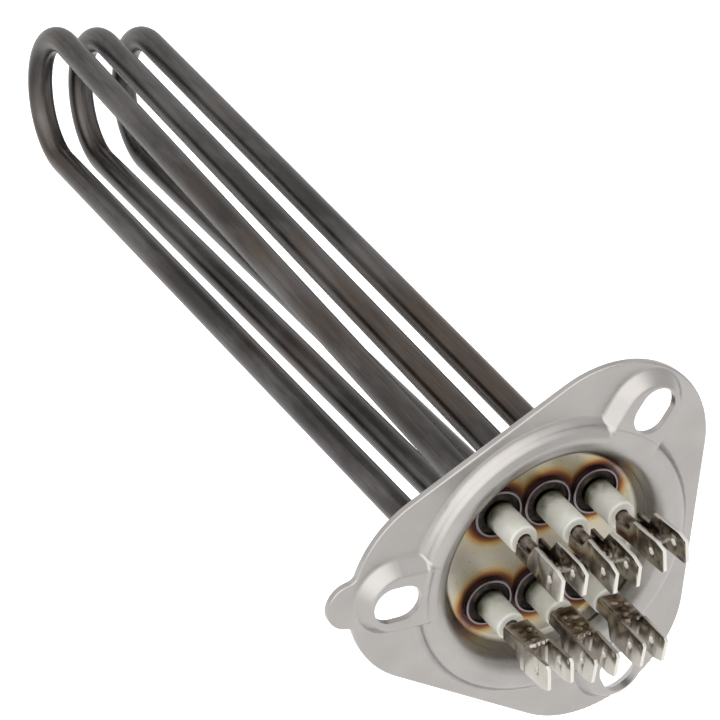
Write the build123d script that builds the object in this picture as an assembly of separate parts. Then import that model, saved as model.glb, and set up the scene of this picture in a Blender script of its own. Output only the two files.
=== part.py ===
from build123d import *
import math
import os

os.makedirs("parts", exist_ok=True)

# Frame: mm, flange upright, tubes along +Y, terminals towards -Y, +Z from the lower row to the upper row.
# Origin at the flange centre on its flat back face.

# flange sheet
sheet = 1.5
lobeRadius = 24.1
lobeReach = 22.3
edgeRound = 0.35
earRadius = 5.4
earReach = 46.2
earDrop = 0.3
earBlend = 2.0
ringFootR = 32.8
ringOuterRun = 2.7
ringTopWidth = 4.3
cupWallRun = 2.9
ringRise = 3.2
lipRise = 2.7
dishDepth = 4.2
footRound = 1.4
crestRound = 3.0
lipRound = 4.4
floorRound = 1.4

# bolt bosses
boltCircleR = 37.5
slotHalfSpan = 1.2
slotR = 4.15
bossCentreR = 36.9
bossFootR = 8.8
bossTaper = 36.0
bossFootRound = 0.7
bossTopRound = 1.1
lobeAngles = {"left": 180, "upperRight": 60, "lowerRight": -60}

# tube layout
tubeR = 3.25
boreR = 2.75
tubePitch = 11.6
rowGap = 21.8
bendR = 17.0
bendCentreY = 225.5
legSquareTo = 12.0
legSetR = 160.0
tubeOffsetX = -0.08
tubeOffsetZ = 0.27
leanX = {"left": -0.2, "middle": -0.2, "right": 0.9}
leanZ = {"left": 2.0, "middle": 0.2, "right": -1.4}
heaters = {"left": -1, "middle": 0, "right": 1}

# collars and joints
collarR = 5.45
collarLipR = 4.95
collarHeight = 1.0
collarRound = 0.2
jointGap = 0.15
collarBoreDepth = 1.4
brazeDrop = 1.1
brazeClimb = 0.7
sheathStandOut = 0.5

# inner pieces
pinR = 1.25
pinFlat = 0.1
pinColdEndY = 52.0
coilR = 1.6
beadR = 3.15
beadSpigotR = 2.42
beadBoreR = 1.55
beadBaseY = 7.0
beadRound = 0.5
beadSeatGap = 0.05
sealDepth = 2.6
pinBendR = 6.0
pinBendClear = 0.7

# terminals
metal = 0.8
tabHeight = 6.3
tabLength = 8.6
tabHoleR = 0.85
tabHoleFromTip = 4.2
freeBevelLong = 2.4
freeBevelHigh = 0.8
webBevel = 0.6
webLength = 7.6
webHalf = 2.8
webRound = 0.9
joggle = 0.15
joggleLength = 0.4
bandHeight = 3.0
bandLength = 3.4
rearSlant = 1.9
pinUnderWeb = 6.4

beadEndY = {"Upper": {"left": -8.3, "middle": -9.5, "right": -8.1}, "Lower": {"left": -7.2, "middle": -7.2, "right": -7.2}}
termRearY = {"Upper": {"left": -11.0, "middle": -12.2, "right": -11.4}, "Lower": {"left": -10.0, "middle": -8.9, "right": -8.6}}
termRoll = {"Upper": {"left": -0.8, "middle": -2.5, "right": -8.0}, "Lower": {"left": -4.2, "middle": 0.0, "right": 1.7}}
termLift = {"Upper": {"left": -1.5, "middle": -2.6, "right": 3.8}, "Lower": {"left": 4.8, "middle": -3.8, "right": -2.1}}
termYaw = {"Upper": {"left": 0.0, "middle": 0.4, "right": 1.0}, "Lower": {"left": 0.4, "middle": 1.1, "right": 1.4}}
rows = {"Lower": -1, "Upper": 1}

rimFront = -sheet
crestFront = rimFront - ringRise
floorFront = rimFront + dishDepth
ringCrestR = ringFootR - ringOuterRun
ringLipR = ringCrestR - ringTopWidth
dishFloorR = ringLipR - cupWallRun
bossInnerR = ringCrestR - ringTopWidth / 4
collarTop = floorFront - collarHeight
sheathEnd = collarTop - sheathStandOut
brazeTop = collarTop + brazeDrop
onTop = (Align.CENTER, Align.CENTER, Align.MIN)
facingTerminals = Plane(origin=(0, 0, 0), x_dir=(1, 0, 0), z_dir=(0, -1, 0))


def at(y):
    return facingTerminals.offset(-y)


def polar(radius, degrees):
    return (radius * math.cos(math.radians(degrees)), radius * math.sin(math.radians(degrees)))


def roundAbout(profile):
    return revolve(profile, Axis.Y, 360)


def nearest(shape, point):
    return shape.vertices().sort_by_distance(Vector(point[0], point[1], 0))[0]


def crossing(p, u, q, v):
    k = ((q[0] - p[0]) * v[1] - (q[1] - p[1]) * v[0]) / (u[0] * v[1] - u[1] * v[0])
    return (p[0] + k * u[0], p[1] + k * u[1])


def offsetLine(points, distance):
    lines = []
    for a, b in zip(points[:-1], points[1:]):
        length = math.dist(a, b)
        u = ((b[0] - a[0]) / length, (b[1] - a[1]) / length)
        lines.append(((a[0] - u[1] * distance, a[1] + u[0] * distance), u))
    out = [lines[0][0]]
    for (p, u), (q, v) in zip(lines[:-1], lines[1:]):
        out.append(crossing(p, u, q, v))
    last = math.dist(points[-2], points[-1])
    out.append((lines[-1][0][0] + lines[-1][1][0] * last, lines[-1][0][1] + lines[-1][1][1] * last))
    return out


def outline():
    shape = Sketch()
    hull = []
    for degrees in sorted(lobeAngles.values()):
        centre = polar(lobeReach, degrees)
        shape += Pos(*centre) * Circle(lobeRadius)
        for side in (-60, 60):
            reach = polar(lobeRadius, degrees + side)
            hull.append((centre[0] + reach[0], centre[1] + reach[1]))
    shape += make_face(Polyline(*hull, close=True))
    ear = Pos(-earReach, -earDrop) * Circle(earRadius)
    shape = shape + ear
    corners = [v for v in shape.vertices() if v.X < -earReach + earRadius and abs(v.Y) < earRadius + 1]
    return fillet(corners, earBlend)


def flangeBlank():
    front = [(60, rimFront), (ringFootR, rimFront), (ringCrestR, crestFront), (ringLipR, rimFront - lipRise),
             (dishFloorR, floorFront), (0, floorFront)]
    back = offsetLine(front, -sheet)
    face = make_face(Polyline(*front, *reversed(back), close=True))
    rounds = [(front[1], footRound), (front[2], crestRound), (front[3], lipRound), (front[4], floorRound)]
    rounds += [(back[1], footRound + sheet), (back[2], crestRound - sheet),
               (back[3], lipRound - sheet), (back[4], floorRound + sheet)]
    for point, radius in rounds:
        face = fillet(nearest(face, point), radius)
    return roundAbout(face)


def bossForm(footR, footY, height, innerR, topRound=0):
    form = Part()
    for degrees in lobeAngles.values():
        shape = Pos(bossCentreR, 0) * Circle(footR)
        shape += Pos(bossCentreR / 2, 0) * Rectangle(bossCentreR, 2 * footR)
        lobe = extrude(at(footY) * Rot(0, 0, degrees) * shape, height, taper=bossTaper)
        if topRound:
            lobe = fillet(lobe.faces().sort_by(Axis.Y)[0].edges(), topRound)
        form += lobe
    return form - extrude(at(20) * Circle(innerR), 40)


def bossFootEdges(body):
    edges = []
    for edge in body.edges():
        middle = edge.position_at(0.5)
        flat = all(abs(edge.position_at(k).Y - rimFront) < 0.001 for k in (0.1, 0.5, 0.9))
        for degrees in lobeAngles.values():
            along = Vector(math.cos(math.radians(degrees)), 0, math.sin(math.radians(degrees)))
            u = middle.dot(along)
            v = math.sqrt(max(middle.X ** 2 + middle.Z ** 2 - u ** 2, 0))
            far = math.hypot(max(u - bossCentreR, 0), v)
            if flat and u > ringCrestR and abs(far - bossFootR) < 0.01:
                edges.append(edge)
    return edges


def makeFlange():
    trim = extrude(at(10) * outline(), 10 - rimFront)
    trim = fillet(trim.faces().sort_by(Axis.Y)[0].edges(), edgeRound)
    trim += extrude(at(10) * Circle(ringFootR + footRound), 20)
    taper = math.radians(bossTaper)
    innerFoot = bossFootR - sheet / math.cos(taper) + sheet * math.tan(taper)
    body = (flangeBlank() & trim) + bossForm(bossFootR, rimFront, ringRise, bossInnerR, bossTopRound)
    body = fillet(bossFootEdges(body), bossFootRound)
    body -= bossForm(innerFoot, 0, ringRise, bossInnerR - sheet)
    for degrees in lobeAngles.values():
        slot = SlotCenterToCenter(2 * slotHalfSpan, 2 * slotR)
        body -= extrude(at(5) * Rot(0, 0, degrees) * Pos(boltCircleR, 0) * slot, 20)
    cup = make_face(Polyline((0, floorFront + sheet / 2), (collarR, floorFront + sheet / 2),
                             (collarR, collarTop), (0, collarTop), close=True))
    cup = roundAbout(fillet(nearest(cup, (collarR, collarTop)), collarRound))
    opening = roundAbout(funnel())
    for name in heaters:
        for row in rows:
            place = Pos(*joint(name, row))
            body = body + place * cup - place * opening
    return body


def joint(name, row):
    return (heaters[name] * tubePitch + tubeOffsetX, 0, rows[row] * rowGap / 2 + tubeOffsetZ)


def funnel():
    throat = tubeR + jointGap
    backY = floorFront + sheet
    boreEnd = collarTop + collarBoreDepth
    points = [(0, collarTop - 1), (collarLipR, collarTop - 1), (collarLipR, boreEnd),
              (throat, backY - 0.6), (throat, backY + 1), (0, backY + 1)]
    return make_face(Polyline(*points, close=True))


def brazeProfile():
    throat = tubeR + jointGap
    backY = floorFront + sheet
    boreEnd = collarTop + collarBoreDepth
    climbY = brazeTop - brazeClimb
    curve = ThreePointArc((tubeR, climbY), (tubeR + 0.6, brazeTop - 0.1), (collarLipR, brazeTop))
    walls = Polyline((collarLipR, brazeTop), (collarLipR, boreEnd), (throat, backY - 0.6), (throat, backY),
                     (tubeR, backY), (tubeR, climbY))
    return make_face(curve + walls)


def beadProfile(endY):
    seat = sheathEnd - beadSeatGap
    face = make_face(Polyline((beadBoreR, beadBaseY), (beadSpigotR, beadBaseY), (beadSpigotR, seat),
                              (beadR, seat), (beadR, endY), (beadBoreR, endY), close=True))
    return fillet(nearest(face, (beadR, endY)), beadRound)


def sealProfile():
    return make_face(Polyline((beadSpigotR, sheathEnd), (boreR + 0.1, sheathEnd), (boreR + 0.1, sheathEnd + sealDepth),
                              (beadSpigotR, sheathEnd + sealDepth), close=True))


def legPoints(name):
    reach = math.hypot(leanX[name], bendCentreY)
    centre = (reach, leanZ[name])
    legs = {}
    for row, z in rows.items():
        start = (legSquareTo, z * rowGap / 2)
        away = math.dist(start, centre)
        heading = math.atan2(centre[1] - start[1], centre[0] - start[0]) + z * math.asin(bendR / away)
        run = math.sqrt(away ** 2 - bendR ** 2)
        tangent = (start[0] + run * math.cos(heading), start[1] + run * math.sin(heading))
        half = legSetR * math.tan(abs(heading) / 2)
        setIn = (start[0] - half, start[1])
        setOut = (start[0] + half * math.cos(heading), start[1] + half * math.sin(heading))
        bulge = half / math.sin(abs(heading) / 2) - legSetR
        normal = heading / 2 + z * math.pi / 2
        setMid = (start[0] + bulge * math.cos(normal), start[1] + bulge * math.sin(normal))
        legs[row] = {"in": setIn, "mid": setMid, "out": setOut, "tangent": tangent, "heading": heading}
    tip = (centre[0] + bendR, centre[1])
    return legs, tip


def legPlane(name):
    return Plane(origin=(heaters[name] * tubePitch + tubeOffsetX, 0, tubeOffsetZ),
                 x_dir=(leanX[name], bendCentreY, 0), z_dir=(bendCentreY, -leanX[name], 0))


def hairpin(name, startY):
    legs, tip = legPoints(name)
    low, high = legs["Lower"], legs["Upper"]
    path = Line((startY, low["in"][1]), low["in"])
    path += ThreePointArc(low["in"], low["mid"], low["out"])
    path += Line(low["out"], low["tangent"])
    path += ThreePointArc(low["tangent"], tip, high["tangent"])
    path += Line(high["tangent"], high["out"])
    path += ThreePointArc(high["out"], high["mid"], high["in"])
    path += Line(high["in"], (startY, high["in"][1]))
    return legPlane(name) * path


def pinPath(name, row, endY):
    leg = legPoints(name)[0][row]
    k = (pinColdEndY - leg["out"][0]) / math.cos(leg["heading"])
    inner = legPlane(name) * Line(leg["out"], (pinColdEndY, leg["out"][1] + k * math.sin(leg["heading"])))
    inner += legPlane(name) * ThreePointArc(leg["in"], leg["mid"], leg["out"])
    bend = pinBend(name, row)
    start = legPlane(name).from_local_coords(Vector(leg["in"][0], leg["in"][1], 0))
    heading = Vector(0, -1, 0)
    away = toward(name, row)
    angle = math.radians(heading.get_angle(away))
    before = bend - heading * (pinBendR * math.tan(angle / 2))
    after = bend + away * (pinBendR * math.tan(angle / 2))
    chord = (bend - (before + after) * 0.5).normalized()
    mid = bend - chord * (pinBendR * (1 / math.cos(angle / 2) - 1))
    end = bend + away * (bend.Y - endY)
    return Line(end, after) + ThreePointArc(after, mid, before) + Line(before, start) + inner


def pinBend(name, row):
    x, y, z = joint(name, row)
    return Vector(x, beadEndY[row][name] - pinBendClear, z)


def toward(name, row):
    return Vector(0, -1, 0).rotate(Axis.X, -termLift[row][name]).rotate(Axis.Z, termYaw[row][name])


def rodAlong(path, radius):
    wire = Wire(path.edges())
    start = Plane(origin=wire.position_at(0), z_dir=wire.tangent_at(0))
    return sweep(start * Circle(radius), path=wire)


def coilPath(name):
    legs, tip = legPoints(name)
    path = Curve()
    ends = {}
    for row in rows:
        leg = legs[row]
        k = (pinColdEndY - leg["out"][0]) / math.cos(leg["heading"])
        ends[row] = (pinColdEndY, leg["out"][1] + k * math.sin(leg["heading"]))
    path += Line(ends["Lower"], legs["Lower"]["tangent"])
    path += ThreePointArc(legs["Lower"]["tangent"], tip, legs["Upper"]["tangent"])
    path += Line(legs["Upper"]["tangent"], ends["Upper"])
    return legPlane(name) * path


def makeTerminal():
    webTop = pinR - pinFlat + metal
    channel = Rectangle(2 * webHalf, bandHeight, align=(Align.CENTER, Align.MAX))
    channel = fillet(channel.vertices().group_by(Axis.Y)[-1], webRound)
    hollow = Pos(0, -metal) * Rectangle(2 * (webHalf - metal), bandHeight, align=(Align.CENTER, Align.MAX))
    hollow = fillet(hollow.vertices().group_by(Axis.Y)[-1], webRound / 4)
    body = extrude(at(0) * Pos(0, webTop) * (channel - hollow), webLength)
    tip = -(webLength + tabLength)
    low = webTop - tabHeight
    side = Polyline((-bandLength, webTop - bandHeight / 2), (-bandLength, webTop - bandHeight),
                    (-bandLength - rearSlant, low), (tip + freeBevelLong, low), (tip, low + freeBevelHigh),
                    (tip, webTop - webBevel), (tip + webBevel, webTop), (-webLength, webTop),
                    (-webLength, webTop - bandHeight / 2), close=True)
    sideways = Plane(origin=(-5, 0, 0), x_dir=(0, 1, 0), z_dir=(1, 0, 0))
    hole = Pos(tip + tabHoleFromTip, webTop - tabHeight / 2) * Circle(tabHoleR)
    silhouette = extrude(sideways * (make_face(side) - hole), 10)
    for hand in (-1, 1):
        outer = [(webHalf, -bandLength), (webHalf, -webLength + joggleLength), (webHalf + joggle, -webLength),
                 (webHalf + joggle, tip)]
        inner = [(x - metal, y) for x, y in reversed(outer)]
        plan = make_face(Polyline(*[(hand * x, y) for x, y in outer + inner], close=True))
        body += extrude(Pos(0, 0, -8) * plan, 16) & silhouette
    return body


def placed(piece, name, row):
    turn = 0 if row == "Lower" else 180
    bend = pinBend(name, row)
    lean = Rot(0, 0, termYaw[row][name]) * Rot(-termLift[row][name], 0, 0)
    local = Pos(0, termRearY[row][name] - bend.Y, 0) * Rot(0, termRoll[row][name] + turn, 0) * piece
    return Pos(bend) * lean * local


pieces = {"flange": makeFlange()}
terminal = makeTerminal()

for name in heaters:
    rod = rodAlong(hairpin(name, sheathEnd), tubeR)
    bore = rodAlong(hairpin(name, sheathEnd - 0.5), boreR)
    coil = rodAlong(coilPath(name), coilR)
    powder = rodAlong(hairpin(name, beadBaseY), boreR) - coil
    pieces[f"{name}Sheath"] = rod - bore
    pieces[f"{name}Coil"] = coil
    for row in rows:
        label = f"{name}{row}"
        middle = Pos(*joint(name, row))
        pin = rodAlong(pinPath(name, row, termRearY[row][name] - pinUnderWeb), pinR)
        flat = Pos(0, -pinUnderWeb, pinR - pinFlat) * Box(4, 2 * (pinUnderWeb + 0.6), 2, align=onTop)
        bead = middle * roundAbout(beadProfile(beadEndY[row][name]))
        powder = powder - pin - bead
        pieces[f"{label}Pin"] = pin - placed(flat, name, row)
        pieces[f"{label}Bead"] = bead
        pieces[f"{label}Seal"] = (middle * roundAbout(sealProfile())) & bore
        pieces[f"{label}Braze"] = middle * roundAbout(brazeProfile()) - rod
        pieces[f"{label}Terminal"] = placed(terminal, name, row)
    pieces[f"{name}Powder"] = powder

for label, shape in pieces.items():
    export_step(shape, f"parts/{label}.step")
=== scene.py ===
import math
import random

import bmesh
import bpy
from mathutils import Matrix, Vector


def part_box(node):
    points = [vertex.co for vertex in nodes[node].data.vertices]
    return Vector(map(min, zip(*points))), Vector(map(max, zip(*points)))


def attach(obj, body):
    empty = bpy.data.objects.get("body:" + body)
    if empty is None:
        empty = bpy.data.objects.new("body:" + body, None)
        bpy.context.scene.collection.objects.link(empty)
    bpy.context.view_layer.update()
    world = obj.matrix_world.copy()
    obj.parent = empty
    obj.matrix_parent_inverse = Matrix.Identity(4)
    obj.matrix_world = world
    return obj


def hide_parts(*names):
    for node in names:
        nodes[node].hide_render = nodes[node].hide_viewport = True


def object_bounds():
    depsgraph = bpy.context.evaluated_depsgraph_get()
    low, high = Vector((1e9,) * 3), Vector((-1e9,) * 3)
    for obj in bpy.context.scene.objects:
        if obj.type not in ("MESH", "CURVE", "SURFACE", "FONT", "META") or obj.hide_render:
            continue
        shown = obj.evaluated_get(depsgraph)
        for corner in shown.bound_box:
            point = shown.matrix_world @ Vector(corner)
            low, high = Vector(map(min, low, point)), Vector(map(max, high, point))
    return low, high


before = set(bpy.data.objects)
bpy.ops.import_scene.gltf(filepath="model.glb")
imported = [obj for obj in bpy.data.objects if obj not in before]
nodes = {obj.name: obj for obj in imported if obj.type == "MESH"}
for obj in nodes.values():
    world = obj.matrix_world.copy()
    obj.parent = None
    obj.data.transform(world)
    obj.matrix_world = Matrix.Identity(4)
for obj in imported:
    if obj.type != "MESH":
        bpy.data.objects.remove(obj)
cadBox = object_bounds()
sides = ("left", "middle", "right")
rows = ("Upper", "Lower")
mm = 0.001
print("loaded", len(nodes), "nodes")


def linear(hexColour):
    parts = [int(hexColour[i:i + 2], 16) / 255 for i in (0, 2, 4)]
    return tuple(c / 12.92 if c <= 0.04045 else ((c + 0.055) / 1.055) ** 2.4 for c in parts) + (1.0,)


def addNode(tree, kind, settings=None, inputs=None):
    node = tree.nodes.new(kind)
    for name, value in (settings or {}).items():
        setattr(node, name, value)
    for name, value in (inputs or {}).items():
        if isinstance(value, bpy.types.NodeSocket):
            tree.links.new(value, node.inputs[name])
        else:
            node.inputs[name].default_value = value
    return node


def mathOf(tree, operation, *values, clamp=False):
    settings = {"operation": operation, "use_clamp": clamp}
    return addNode(tree, "ShaderNodeMath", settings, dict(enumerate(values))).outputs[0]


def spread(tree, value, low, high, toLow=0.0, toHigh=1.0):  # a smooth step from low to high
    inputs = {"Value": value, "From Min": low, "From Max": high, "To Min": toLow, "To Max": toHigh}
    return addNode(tree, "ShaderNodeMapRange", {"interpolation_type": "SMOOTHSTEP"}, inputs).outputs[0]


def stops(tree, value, marks):
    node = addNode(tree, "ShaderNodeValToRGB", inputs={"Fac": value})
    elements = node.color_ramp.elements
    while len(elements) > 1:
        elements.remove(elements[-1])
    elements[0].position = marks[0][0]
    elements[0].color = linear(marks[0][1])
    for place, colour in marks[1:]:
        elements.new(place).color = linear(colour)
    return node.outputs["Color"]


def mixOf(tree, factor, first, second, blend="MIX"):
    settings = {"data_type": "RGBA", "blend_type": blend}
    return addNode(tree, "ShaderNodeMix", settings, {0: factor, 6: first, 7: second}).outputs[2]


def noiseOf(tree, place, sizeMm, detail=3.0, rough=0.55, stretch=(1, 1, 1)):  # spots about sizeMm across
    scaled = addNode(tree, "ShaderNodeMapping", inputs={"Vector": place, "Scale": stretch})
    inputs = {"Vector": scaled.outputs[0], "Scale": 1 / (sizeMm * mm), "Detail": detail, "Roughness": rough}
    return addNode(tree, "ShaderNodeTexNoise", inputs=inputs).outputs["Fac"]


def bumpOf(tree, height, depthMm, strength=1.0, normal=None):
    inputs = {"Height": height, "Distance": depthMm * mm, "Strength": strength}
    if normal:
        inputs["Normal"] = normal
    return addNode(tree, "ShaderNodeBump", inputs=inputs).outputs[0]


def newMaterial(name):
    material = bpy.data.materials.new(name)
    material.use_nodes = True
    tree = material.node_tree
    tree.nodes.clear()
    shader = addNode(tree, "ShaderNodeBsdfPrincipled")
    addNode(tree, "ShaderNodeOutputMaterial", inputs={"Surface": shader.outputs["BSDF"]})
    place = addNode(tree, "ShaderNodeTexCoord").outputs["Object"]
    return material, tree, shader, place


def finish(tree, shader, **inputs):
    for name, value in inputs.items():
        socket = shader.inputs[name.replace("_", " ")]
        if isinstance(value, bpy.types.NodeSocket):
            tree.links.new(value, socket)
        else:
            socket.default_value = value


def dress(nodeName, material):
    slots = nodes[nodeName].data.materials
    slots.clear()
    slots.append(material)


def middleOf(nodeName):
    low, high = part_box(nodeName)
    return (Vector(low) + Vector(high)) / 2


joints = [middleOf(side + row + "Bead") for row in rows for side in sides]


def axisOf(tree, place):
    return addNode(tree, "ShaderNodeSeparateXYZ", inputs={"Vector": place}).outputs


def awayFromJoints(tree, place):  # distance in mm from the nearest tube axis
    flat = addNode(tree, "ShaderNodeVectorMath", {"operation": "MULTIPLY"}, {0: place, 1: (1, 0, 1)}).outputs[0]
    nearest = None
    for centre in joints:
        inputs = {0: flat, 1: (centre.x, 0, centre.z)}
        away = addNode(tree, "ShaderNodeVectorMath", {"operation": "DISTANCE"}, inputs).outputs["Value"]
        nearest = away if nearest is None else mathOf(tree, "MINIMUM", nearest, away)
    return mathOf(tree, "MULTIPLY", nearest, 1000)


# pressed stainless flange
flangeLook = {
    "steel": "aba8a5",
    "roughness": 0.34,
    "tintStart": 4.8,  # mm from a tube axis, at the collar wall
    "tintEnd": 11.5,
    "cupRadius": 23.3,  # mm, where the tint has faded out on the cup wall
    "grainMm": 0.35,
}


def makeFlangeSteel():
    # pressed and brazed stainless sheet: satin grey, with straw, brown and blue heat tint round the joints
    material, tree, shader, place = newMaterial("pressedStainlessHeatTinted")
    axes = axisOf(tree, place)
    wander = noiseOf(tree, place, 7, detail=4)
    away = awayFromJoints(tree, place)
    loose = spread(tree, away, flangeLook["tintStart"] + 0.9, flangeLook["tintEnd"], 0.0, 5.0)
    near = mathOf(tree, "MULTIPLY_ADD", mathOf(tree, "SUBTRACT", wander, 0.5), loose, away)
    band = addNode(tree, "ShaderNodeMapRange", inputs={
        "Value": near, "From Min": flangeLook["tintStart"], "From Max": flangeLook["tintEnd"]}).outputs[0]
    tint = stops(tree, band, [(0.0, "2e2a2b"), (0.02, "857d7d"), (0.085, "7b7074"), (0.115, "3c2b2b"),
                              (0.20, "4d3026"), (0.30, "83532f"), (0.40, "aa8c5c"), (0.56, "b3aa90"),
                              (1.0, "b4afa4")])
    fromCentre = addNode(tree, "ShaderNodeVectorMath", {"operation": "MULTIPLY"}, {0: place, 1: (1, 0, 1)})
    radius = addNode(tree, "ShaderNodeVectorMath", {"operation": "LENGTH"}, {0: fromCentre.outputs[0]})
    ragged = mathOf(tree, "MULTIPLY_ADD", noiseOf(tree, place, 5), 5.0, mathOf(
        tree, "MULTIPLY_ADD", radius.outputs["Value"], 1000, -2.5))
    inCup = spread(tree, ragged, flangeLook["cupRadius"] - 1.5, flangeLook["cupRadius"] + 1.5, 1.0, 0.0)
    tone = noiseOf(tree, place, 12, detail=5)
    steel = mixOf(tree, spread(tree, tone, 0.3, 0.7), linear("a29e9b"), linear(flangeLook["steel"]))
    colour = mixOf(tree, inCup, steel, tint)
    pits = noiseOf(tree, place, 0.55, detail=2)
    speck = mathOf(tree, "MULTIPLY", spread(tree, pits, 0.62, 0.74), spread(
        tree, radius.outputs["Value"], 25.5 * mm, 27 * mm, 0.55, 0.10))
    colour = mixOf(tree, speck, colour, linear("57534c"))
    grain = noiseOf(tree, place, flangeLook["grainMm"], detail=3)
    wave = noiseOf(tree, place, 9, detail=2)
    crease = addNode(tree, "ShaderNodeFloatCurve", inputs={"Value": mathOf(
        tree, "MULTIPLY_ADD", radius.outputs["Value"], 100, -2.5)}).outputs[0]  # ring bead's foot, R 30 to 33 mm
    shape = crease.node.mapping.curves[0].points
    shape[0].location = (0.0, 0.6)
    shape[1].location = (1.0, 0.0)
    for at, height in ((0.42, 0.55), (0.52, 0.42), (0.60, 0.70), (0.70, 0.04), (0.80, 0.0)):
        shape.new(at, height)
    crease.node.mapping.update()
    onFront = spread(tree, axes["Y"], 0.2 * mm, -0.5 * mm)
    press = mathOf(tree, "MULTIPLY", crease, onFront)
    normal = bumpOf(tree, wave, 0.25, 0.5, bumpOf(tree, grain, 0.012, 0.5, bumpOf(tree, press, 0.35, 1.0)))
    rough = spread(tree, tone, 0.25, 0.75, flangeLook["roughness"] - 0.05, flangeLook["roughness"] + 0.06)
    finish(tree, shader, Base_Color=colour, Metallic=1.0, Roughness=rough, Normal=normal)
    return material


dress("flange", makeFlangeSteel())
print("flange dressed")

# drawn, bent and annealed sheath tubes
tubeLook = {
    "dark": "413e3d",
    "light": "615e5c",
    "brown": "54483f",
    "roughness": 0.33,
}


def makeTubeSteel():
    # drawn stainless tube after bright annealing gone dark: grey-black, brown in places, with fine draw lines
    material, tree, shader, place = newMaterial("drawnTubeOxideDark")
    drawn = addNode(tree, "ShaderNodeAttribute", {"attribute_name": "drawn"}).outputs["Vector"]
    cloud = noiseOf(tree, drawn, 9, detail=5, stretch=(1, 0.35, 1))
    fine = noiseOf(tree, drawn, 0.7, detail=3, stretch=(1, 0.04, 1))  # draw lines follow the tube
    colour = mixOf(tree, spread(tree, cloud, 0.35, 0.68), linear(tubeLook["dark"]), linear(tubeLook["light"]))
    brown = noiseOf(tree, place, 30, detail=3, stretch=(1, 0.5, 1))
    colour = mixOf(tree, spread(tree, brown, 0.48, 0.66, 0.0, 0.6), colour, linear(tubeLook["brown"]))
    colour = mixOf(tree, spread(tree, fine, 0.4, 0.7, 0.0, 0.35), colour, linear("2c2a29"))
    rough = spread(tree, cloud, 0.3, 0.7, tubeLook["roughness"] - 0.05, tubeLook["roughness"] + 0.09)
    normal = bumpOf(tree, fine, 0.02, 0.4)
    finish(tree, shader, Base_Color=colour, Metallic=1.0, Roughness=rough, Normal=normal)
    return material


tubeForm = {
    "radius": 3.25,
    "wall": 0.5,
    "faces": 48,
    "mouthY": 1.2,
    "squareTo": 12.0,
    "setRadius": 160.0,
    "rowGap": 21.8,
    "pitch": 11.6,
    "offset": (-0.08, 0.27),  # tube group against the flange centre, X and Z
    "bendRadius": 17.0,
    "bendCentreY": 225.5,
    "leanX": {"left": -0.2, "middle": -0.2, "right": 0.9},
    "leanZ": {"left": 2.0, "middle": 0.2, "right": -1.4},
}


def routeOf(side):  # the hairpin's centre line, in mm along the tube's own plane
    form = tubeForm
    bend = form["bendRadius"]
    centre = Vector((math.hypot(form["leanX"][side], form["bendCentreY"]), form["leanZ"][side]))
    halves = []
    for hand in (-1, 1):
        start = Vector((form["squareTo"], hand * form["rowGap"] / 2))
        away = centre - start
        heading = math.atan2(away.y, away.x) + hand * math.asin(bend / away.length)
        along = Vector((math.cos(heading), math.sin(heading)))
        tangent = start + along * math.sqrt(away.length ** 2 - bend ** 2)
        half = form["setRadius"] * math.tan(abs(heading) / 2)
        setCentre = start + Vector((-half, math.copysign(form["setRadius"], heading)))
        leg = [Vector((form["mouthY"], start.y)), Vector((start.x - half, start.y))]
        for i in range(1, 9):
            turn = abs(heading) * i / 8
            leg.append(setCentre + form["setRadius"] * Vector((
                math.sin(turn), -math.copysign(math.cos(turn), heading))))
        reach = (tangent - leg[-1]).length
        leg += [leg[-1] + along * reach * i / 40 for i in range(1, 41)]
        halves.append((leg, heading))
    (low, lowHeading), (high, highHeading) = halves
    first = lowHeading - math.pi / 2
    last = highHeading + math.pi / 2
    turns = [first + (last - first) * i / 48 for i in range(1, 48)]
    around = [centre + bend * Vector((math.cos(turn), math.sin(turn))) for turn in turns]
    x = sides.index(side) * form["pitch"] - form["pitch"] + form["offset"][0]
    slope = form["leanX"][side] / form["bendCentreY"]
    return [(x + p.x * slope, p.x, p.y + form["offset"][1]) for p in low + around + high[::-1]]


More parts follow.
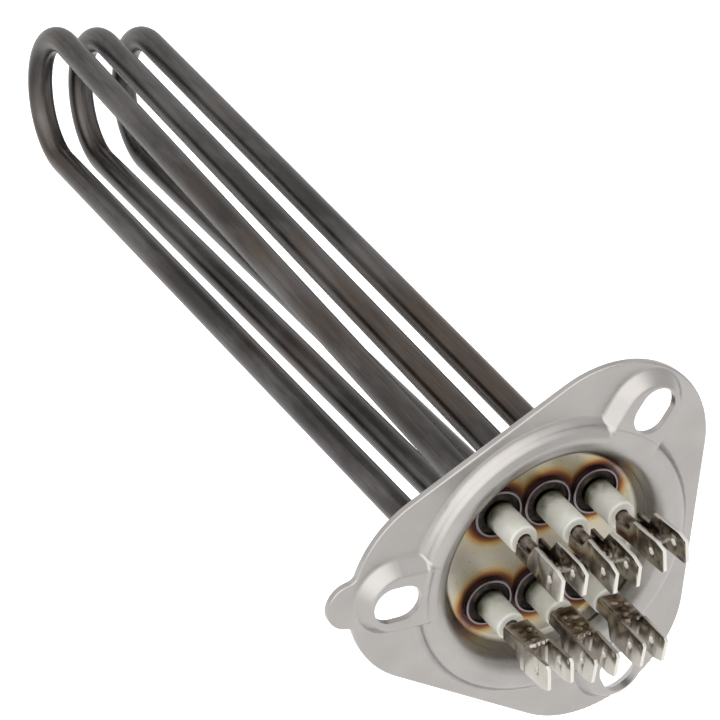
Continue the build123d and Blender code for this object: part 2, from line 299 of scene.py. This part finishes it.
def makeSheathTree(material):
    tree = bpy.data.node_groups.new("sheathAlongRoute", "GeometryNodeTree")
    tree.interface.new_socket("Geometry", in_out="INPUT", socket_type="NodeSocketGeometry")
    tree.interface.new_socket("Tube radius", in_out="INPUT", socket_type="NodeSocketFloat")
    tree.interface.new_socket("Faces around", in_out="INPUT", socket_type="NodeSocketInt")
    tree.interface.new_socket("Geometry", in_out="OUTPUT", socket_type="NodeSocketGeometry")
    given = addNode(tree, "NodeGroupInput").outputs
    line = addNode(tree, "GeometryNodeMeshToCurve", inputs={"Mesh": given["Geometry"]}).outputs[0]
    along = addNode(tree, "GeometryNodeSplineParameter").outputs["Length"]
    ring = addNode(tree, "GeometryNodeCurvePrimitiveCircle", inputs={
        "Radius": given["Tube radius"], "Resolution": given["Faces around"]}).outputs[0]
    seat = addNode(tree, "GeometryNodeInputPosition").outputs[0]
    tree.nodes.update()
    keepLine = tree.nodes.new("GeometryNodeCaptureAttribute")
    keepLine.capture_items.new("FLOAT", "along")
    tree.links.new(line, keepLine.inputs["Geometry"])
    tree.links.new(along, keepLine.inputs["along"])
    keepRing = tree.nodes.new("GeometryNodeCaptureAttribute")
    keepRing.capture_items.new("VECTOR", "seat")
    tree.links.new(ring, keepRing.inputs["Geometry"])
    tree.links.new(seat, keepRing.inputs["seat"])
    skin = addNode(tree, "GeometryNodeCurveToMesh", inputs={
        "Curve": keepLine.outputs["Geometry"], "Profile Curve": keepRing.outputs["Geometry"]}).outputs[0]
    around = addNode(tree, "ShaderNodeSeparateXYZ", inputs={"Vector": keepRing.outputs["seat"]}).outputs
    drawn = addNode(tree, "ShaderNodeCombineXYZ", inputs={
        "X": around["X"], "Y": keepLine.outputs["along"], "Z": around["Y"]}).outputs[0]
    named = addNode(tree, "GeometryNodeStoreNamedAttribute", {"data_type": "FLOAT_VECTOR", "domain": "POINT"},
                    {"Geometry": skin, "Name": "drawn", "Value": drawn}).outputs[0]
    smooth = addNode(tree, "GeometryNodeSetShadeSmooth", inputs={"Geometry": named}).outputs[0]
    real = addNode(tree, "GeometryNodeRealizeInstances", inputs={"Geometry": smooth}).outputs[0]
    dressed = addNode(tree, "GeometryNodeSetMaterial", inputs={"Geometry": real, "Material": material}).outputs[0]
    addNode(tree, "NodeGroupOutput", inputs={"Geometry": dressed})
    return tree


def makeSheath(side, tree):
    points = [Vector(p) * mm for p in routeOf(side)]
    line = bpy.data.meshes.new(side + "Route")
    line.from_pydata(points, [(i, i + 1) for i in range(len(points) - 1)], [])
    raw = bpy.data.objects.new(side + "Route", line)
    bpy.context.scene.collection.objects.link(raw)
    sweep = raw.modifiers.new("sweep", "NODES")
    sweep.node_group = tree
    given = {item.name: item.identifier for item in tree.interface.items_tree if item.in_out == "INPUT"}
    sweep[given["Tube radius"]] = tubeForm["radius"] * mm
    sweep[given["Faces around"]] = tubeForm["faces"]
    skin = bpy.data.meshes.new_from_object(raw.evaluated_get(bpy.context.evaluated_depsgraph_get()))
    raw.modifiers.remove(sweep)
    mesh = bmesh.new()
    mesh.from_mesh(skin)
    bmesh.ops.recalc_face_normals(mesh, faces=mesh.faces)
    face = mesh.faces[0]
    if face.normal.dot(face.calc_center_median() - points[0]) < 0:
        bmesh.ops.reverse_faces(mesh, faces=mesh.faces)
    mesh.to_mesh(skin)
    mesh.free()
    shell = bpy.data.objects.new(side + "DrawnTubeRaw", skin)
    bpy.context.scene.collection.objects.link(shell)
    wall = shell.modifiers.new("wall", "SOLIDIFY")
    wall.thickness = tubeForm["wall"] * mm
    wall.offset = -1
    solid = bpy.data.meshes.new_from_object(shell.evaluated_get(bpy.context.evaluated_depsgraph_get()))
    for spare in (raw, shell):
        bpy.data.objects.remove(spare)
    solid.shade_smooth()
    solid.set_sharp_from_angle(angle=math.radians(40))
    piece = bpy.data.objects.new(side + "DrawnTube", solid)
    bpy.context.scene.collection.objects.link(piece)
    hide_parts(side + "Sheath")
    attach(piece, "root")


sheathTree = makeSheathTree(makeTubeSteel())
for side in sides:
    makeSheath(side, sheathTree)
print("tubes swept")

# ceramic beads
beadLook = {
    "clay": "c6c6c0",
    "mouthDarkColour": "34361f",
    "darkFrom": 1.8,  # mm along Y, at the tube mouth
    "darkTo": -3.4,
}


def makeBeadClay():
    # unglazed pressed steatite: matt off-white, turning green-black towards where it leaves the tube
    material, tree, shader, place = newMaterial("unglazedSteatite")
    along = mathOf(tree, "MULTIPLY", axisOf(tree, place)["Y"], 1000)
    wander = mathOf(tree, "MULTIPLY_ADD", noiseOf(tree, place, 4, detail=4), 6.0, -3.0)
    # darker green-black towards the tube mouth, its border made ragged by noise
    darkNearMouth = spread(tree, mathOf(tree, "ADD", along, wander), beadLook["darkTo"], beadLook["darkFrom"])
    cloud = noiseOf(tree, place, 3, detail=4)
    clay = mixOf(tree, spread(tree, cloud, 0.35, 0.7), linear("bfbdb2"), linear(beadLook["clay"]))
    colour = mixOf(tree, darkNearMouth, clay, linear(beadLook["mouthDarkColour"]))
    grain = noiseOf(tree, place, 0.25, detail=2)
    normal = bumpOf(tree, grain, 0.02, 0.5)
    finish(tree, shader, Base_Color=colour, Metallic=0.0, Roughness=0.62, Normal=normal)
    return material


# terminals, welded on the pins
terminalLook = {
    "strip": "b7b2aa",
    "bronze": "8d7d6c",
    # sheared edge colour: bare cut metal with a painted highlight
    "edge": "d6d2cb",
    "weldReach": 3.3,  # mm from the pin axis
    "weldFrontY": -17.5,  # mm, front end of the weld's heat tint
}


def makeTerminalStrip():
    # blanked and folded stainless strip: satin faces, sheared edges painted lighter as bare cut metal plus a painted
    # highlight, bronze heat tint at the weld
    material, tree, shader, place = newMaterial("blankedStainlessStrip")
    axes = axisOf(tree, place)
    normalAxes = axisOf(tree, addNode(tree, "ShaderNodeNewGeometry").outputs["Normal"])
    sideways = mathOf(tree, "ABSOLUTE", normalAxes["X"])
    along = mathOf(tree, "MULTIPLY", axes["Y"], 1000)
    wander = mathOf(tree, "MULTIPLY_ADD", noiseOf(tree, place, 2.5, detail=2), 1.6, -0.8)
    reach = mathOf(tree, "ADD", awayFromJoints(tree, place), wander)
    nearPin = spread(tree, reach, terminalLook["weldReach"] - 1.2, terminalLook["weldReach"] + 0.6, 1.0, 0.0)
    behind = spread(tree, mathOf(tree, "ADD", along, wander), terminalLook["weldFrontY"] - 1.0,
                    terminalLook["weldFrontY"] + 1.5)
    weld = mathOf(tree, "MULTIPLY", nearPin, behind)
    cloud = noiseOf(tree, place, 2.6, detail=2)
    face = mixOf(tree, spread(tree, cloud, 0.3, 0.75), linear("aca79d"), linear(terminalLook["strip"]))
    burnt = mixOf(tree, spread(tree, cloud, 0.35, 0.65), linear("61544a"), linear(terminalLook["bronze"]))
    colour = mixOf(tree, weld, face, burnt)
    # sheared edges, found by their sideways normals, painted lighter: bare cut metal plus a painted highlight, kept
    # off the weld
    edge = mathOf(tree, "MULTIPLY", spread(tree, sideways, 0.25, 0.6, 1.0, 0.0), mathOf(
        tree, "SUBTRACT", 1.0, weld))
    colour = mixOf(tree, edge, colour, linear(terminalLook["edge"]))
    rough = mathOf(tree, "MULTIPLY_ADD", edge, 0.12, spread(tree, cloud, 0.3, 0.7, 0.20, 0.26))
    normal = bumpOf(tree, noiseOf(tree, place, 0.35), 0.01, 0.4)
    finish(tree, shader, Base_Color=colour, Metallic=1.0, Roughness=rough, Normal=normal)
    return material


terminalForm = {
    "metal": 0.8,
    "half": 2.95,  # mm, outside
    "bend": 0.55,
    "webTop": 1.95,
    "webRear": 1.0,
    "webFront": -7.5,
    "raggedFront": 0.35,
    "tabHeight": 6.3,
    "tip": -16.2,
    "bandHeight": 3.0,
    "bandEnd": -3.4,
    "slantEnd": -5.3,
    "freeBevel": (2.4, 0.8),
    "webBevel": 0.6,
    "holeY": -12.0,
    "holeR": 0.85,
    "joggle": 0.12,
    "dents": 8,
    "dentDepth": 0.42,
    "edgeRound": 0.07,
    "bendClear": 0.7,
    "beadEnd": {"Upper": (-8.3, -9.5, -8.1), "Lower": (-7.2, -7.2, -7.2)},
    "rear": {"Upper": (-11.0, -12.2, -11.4), "Lower": (-10.0, -8.9, -8.6)},
    "roll": {"Upper": (-0.8, -2.5, -8.0), "Lower": (-4.2, 0.0, 1.7)},
    "lift": {"Upper": (-1.5, -2.6, 3.8), "Lower": (4.8, -3.8, -2.1)},
    "yaw": {"Upper": (0.0, 0.4, 1.0), "Lower": (0.4, 1.1, 1.4)},
}


def between(value, marks):  # straight lines between (value, height) marks
    for (a, low), (b, high) in zip(marks[:-1], marks[1:]):
        if a >= value >= b:
            return low + (high - low) * (a - value) / (a - b)
    return marks[-1][1] if value < marks[-1][0] else marks[0][1]


def terminalMesh(name, seed):
    form = terminalForm
    chance = random.Random(seed)
    top = form["webTop"]
    low = top - form["tabHeight"]
    tip = form["tip"]
    bevelLong, bevelHigh = form["freeBevel"]
    bottomLine = [(form["webRear"], top - form["bandHeight"]), (form["bandEnd"], top - form["bandHeight"]),
                  (form["slantEnd"], low), (tip + bevelLong, low), (tip, low + bevelHigh)]
    topLine = [(form["webFront"], top - form["bend"]), (form["webFront"] - 0.35, top),
               (tip + form["webBevel"], top), (tip, top - form["webBevel"])]
    across = 18
    along = 30
    dents = [(chance.uniform(-1.9, 1.9), chance.uniform(form["webFront"] + 0.8, -0.6), chance.uniform(0.7, 1.1),
              chance.uniform(0.4, 1.0) * form["dentDepth"]) for i in range(form["dents"])]
    ripple = [(chance.uniform(2, 7), chance.uniform(0, 6.3)) for i in range(3)]
    holeSteps = [form["holeY"] + form["holeR"] * math.cos(math.pi * i / 10) for i in range(11)]
    webSteps = [form["webRear"] + (form["webFront"] - form["webRear"]) * i / along for i in range(along + 1)]
    webSteps = sorted(set(webSteps + [form["bandEnd"], form["slantEnd"]]), reverse=True)
    tabSteps = sorted({form["webFront"] - 0.35, tip + bevelLong, tip + form["webBevel"], tip} | set(holeSteps),
                      reverse=True)
    mesh = bmesh.new()
    flatHalf = form["half"] - form["bend"]
    columns = []
    for y in webSteps:
        column = []
        for i in range(across + 1):
            x = flatHalf * (2 * i / across - 1)
            depth = sum(d * math.exp(-((x - a) ** 2 + (y - b) ** 2) / (2 * (r / 2) ** 2)) for a, b, r, d in dents)
            shift = sum(math.sin(k * x + p) for k, p in ripple) / 3 * form["raggedFront"]
            forward = max(0.0, 1 - (y - form["webFront"]) / 1.2)
            column.append((x, y - shift * forward, top - depth))
        columns.append(column)
    grid = []
    for column, y in zip(columns, webSteps):
        points = []
        for hand in (-1, 1):
            joggle = form["joggle"] * max(0.0, min(1.0, (form["webFront"] + 0.5 - y) / 0.4))
            arc = []
            for i in range(1, 5):
                turn = math.pi / 2 * i / 4
                x = flatHalf + form["bend"] * math.sin(turn) + joggle * i / 4
                arc.append((hand * x, y, top - form["bend"] * (1 - math.cos(turn))))
            arc.append((hand * (form["half"] + joggle), y, between(y, bottomLine)))
            points = (arc[::-1] + column) if hand < 0 else points + arc
        grid.append([mesh.verts.new(p) for p in points])
    for a, b in zip(grid[:-1], grid[1:]):
        for i in range(len(a) - 1):
            mesh.faces.new((a[i], a[i + 1], b[i + 1], b[i]))
    for hand in (-1, 1):
        last = [grid[-1][0 if hand < 0 else -1], grid[-1][1 if hand < 0 else -2]]
        x = hand * (form["half"] + form["joggle"])
        before = (last[1], last[0], None, None)
        for y in tabSteps:
            high = mesh.verts.new((x, y, between(y, topLine)))
            down = mesh.verts.new((x, y, between(y, bottomLine)))
            inside = form["holeR"] ** 2 - (y - form["holeY"]) ** 2
            if inside > -1e-9:
                reach = math.sqrt(max(inside, 0))
                middle = top - form["tabHeight"] / 2
                upper = mesh.verts.new((x, y, middle + reach))
                lower = upper if reach < 1e-4 else mesh.verts.new((x, y, middle - reach))
            else:
                upper = lower = None
            now = (high, down, upper, lower)
            if before[2] is None and upper is None:
                strips = [(before[0], before[1], down, high)]
            elif before[2] is None:
                strips = [(before[0], before[1], down, upper, high)]
            elif upper is None:
                strips = [(before[0], before[2], before[1], down, high)]
            else:
                strips = [(before[0], before[2], upper, high), (before[3], before[1], down, lower)]
            for strip in strips:
                face = list(dict.fromkeys(strip))
                mesh.faces.new(face if hand < 0 else face[::-1])
            before = now
    bmesh.ops.remove_doubles(mesh, verts=mesh.verts, dist=1e-4)
    bmesh.ops.recalc_face_normals(mesh, faces=mesh.faces)
    data = bpy.data.meshes.new(name)
    mesh.to_mesh(data)
    mesh.free()
    return data


def makeTerminal(side, row, material):
    form = terminalForm
    index = sides.index(side)
    name = side + row + "FoldedTab"
    data = terminalMesh(name, 11 + 7 * index + (0 if row == "Upper" else 31))
    middle = middleOf(side + row + "Bead") / mm
    bendY = form["beadEnd"][row][index] - form["bendClear"]
    turn = 180 if row == "Upper" else 0
    turns = [math.radians(form[key][row][index]) for key in ("yaw", "lift", "roll")]
    place = Matrix.Translation((middle.x, bendY, middle.z)) @ Matrix.Rotation(turns[0], 4, "Z")
    place = place @ Matrix.Rotation(-turns[1], 4, "X") @ Matrix.Translation((0, form["rear"][row][index] - bendY, 0))
    place = place @ Matrix.Rotation(turns[2] + math.radians(turn), 4, "Y")
    data.transform(Matrix.Scale(mm, 4) @ place)
    raw = bpy.data.objects.new(name + "Raw", data)
    bpy.context.scene.collection.objects.link(raw)
    wall = raw.modifiers.new("metal", "SOLIDIFY")
    wall.thickness = form["metal"] * mm
    wall.offset = -1
    wall.use_even_offset = True
    edge = raw.modifiers.new("edge", "BEVEL")
    edge.width = form["edgeRound"] * mm
    edge.segments = 2
    edge.limit_method = "ANGLE"
    edge.angle_limit = math.radians(50)
    solid = bpy.data.meshes.new_from_object(raw.evaluated_get(bpy.context.evaluated_depsgraph_get()))
    bpy.data.objects.remove(raw)
    solid.name = name
    solid.shade_smooth()
    solid.set_sharp_from_angle(angle=math.radians(38))
    solid.materials.clear()
    solid.materials.append(material)
    piece = bpy.data.objects.new(name, solid)
    bpy.context.scene.collection.objects.link(piece)
    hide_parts(side + row + "Terminal")
    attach(piece, "root")


def makeOxidised(name, dark, light, metallic, roughness, spotMm):
    material, tree, shader, place = newMaterial(name)
    cloud = noiseOf(tree, place, spotMm, detail=4)
    colour = mixOf(tree, spread(tree, cloud, 0.35, 0.7), linear(dark), linear(light))
    normal = bumpOf(tree, cloud, 0.15, 0.6)
    finish(tree, shader, Base_Color=colour, Metallic=metallic, Roughness=roughness, Normal=normal)
    return material


# furnace braze, oxidised brown-black; sealing resin, dark and dull; drawn pins, dulled by the weld
beadClay = makeBeadClay()
braze = makeOxidised("furnaceBrazeOxidised", "17130f", "3d3229", 0.6, 0.5, 1.5)
seal = makeOxidised("sealingResin", "16180f", "2a2c20", 0.0, 0.5, 2.0)
pin = makeOxidised("drawnPinDulled", "6b5f58", "a89d94", 1.0, 0.34, 1.6)
strip = makeTerminalStrip()
for side in sides:
    for row in rows:
        dress(side + row + "Bead", beadClay)
        dress(side + row + "Braze", braze)
        dress(side + row + "Seal", seal)
        makeTerminal(side, row, strip)
        dress(side + row + "Pin", pin)
print("terminals dressed")

# camera, solved from the photograph
cameraView = {
    "focalPixels": 2879.0,
    "framePixels": 720,
    "turn": (2.0668872, -0.4706610, 0.3643562),
    "shiftMm": (39.1296, 40.0563, 590.5221),
    "flangeMm": (0.08, 1.5, -0.27),  # the flange centre in the solved view
}


def makeCamera():
    turn = Vector(cameraView["turn"])
    spin = Matrix.Rotation(turn.length, 3, turn.normalized())
    place = -(spin.transposed() @ Vector(cameraView["shiftMm"])) - Vector(cameraView["flangeMm"])
    look = Matrix((spin[0], -spin[1], -spin[2])).transposed()
    data = bpy.data.cameras.new("camera")
    data.sensor_width = 36
    data.lens = cameraView["focalPixels"] / cameraView["framePixels"] * data.sensor_width
    data.clip_start = 0.01
    data.clip_end = 100
    camera = bpy.data.objects.new("camera", data)
    camera.matrix_world = Matrix.Translation(place * mm) @ look.to_4x4()
    bpy.context.scene.collection.objects.link(camera)
    bpy.context.scene.camera = camera


makeCamera()

# floor and world light
studio = {
    "floorDrop": 0.25,
    "floorColour": "f4f4f4",
    "dim": 0.90,
    "bright": 2.2,
    "brightSide": (-0.60, -0.32, 0.70),
}


def makeWorld():
    world = bpy.data.worlds.new("studio")
    world.use_nodes = True
    tree = world.node_tree
    tree.nodes.clear()
    way = addNode(tree, "ShaderNodeTexCoord").outputs["Generated"]
    side = Vector(studio["brightSide"]).normalized()
    facing = addNode(tree, "ShaderNodeVectorMath", {"operation": "DOT_PRODUCT"}, {0: way, 1: tuple(side)})
    level = spread(tree, facing.outputs["Value"], 0.3, 1.0, studio["dim"], studio["bright"])
    seen = addNode(tree, "ShaderNodeLightPath").outputs["Is Camera Ray"]
    strength = addNode(tree, "ShaderNodeMix", {"data_type": "FLOAT"}, {0: seen, 2: level, 3: 1.05}).outputs[0]
    back = addNode(tree, "ShaderNodeBackground", inputs={"Color": linear("ffffff"), "Strength": strength})
    addNode(tree, "ShaderNodeOutputWorld", inputs={"Surface": back.outputs[0]})
    bpy.context.scene.world = world
    bpy.context.scene.view_settings.view_transform = "Standard"


def makeFloor():
    half = 6
    z = cadBox[0].z - studio["floorDrop"]
    mesh = bpy.data.meshes.new("floor")
    mesh.from_pydata([(-half, -half, z), (half, -half, z), (half, half, z), (-half, half, z)], [], [(0, 1, 2, 3)])
    floor = bpy.data.objects.new("floor", mesh)
    bpy.context.scene.collection.objects.link(floor)
    material, tree, shader, place = newMaterial("paleFloor")
    seen = addNode(tree, "ShaderNodeLightPath").outputs["Is Camera Ray"]
    finish(tree, shader, Base_Color=linear(studio["floorColour"]), Roughness=0.9,
           Emission_Color=linear("ffffff"), Emission_Strength=mathOf(tree, "MULTIPLY", seen, 0.4))
    floor.data.materials.append(material)


makeWorld()
makeFloor()
print("studio lit")
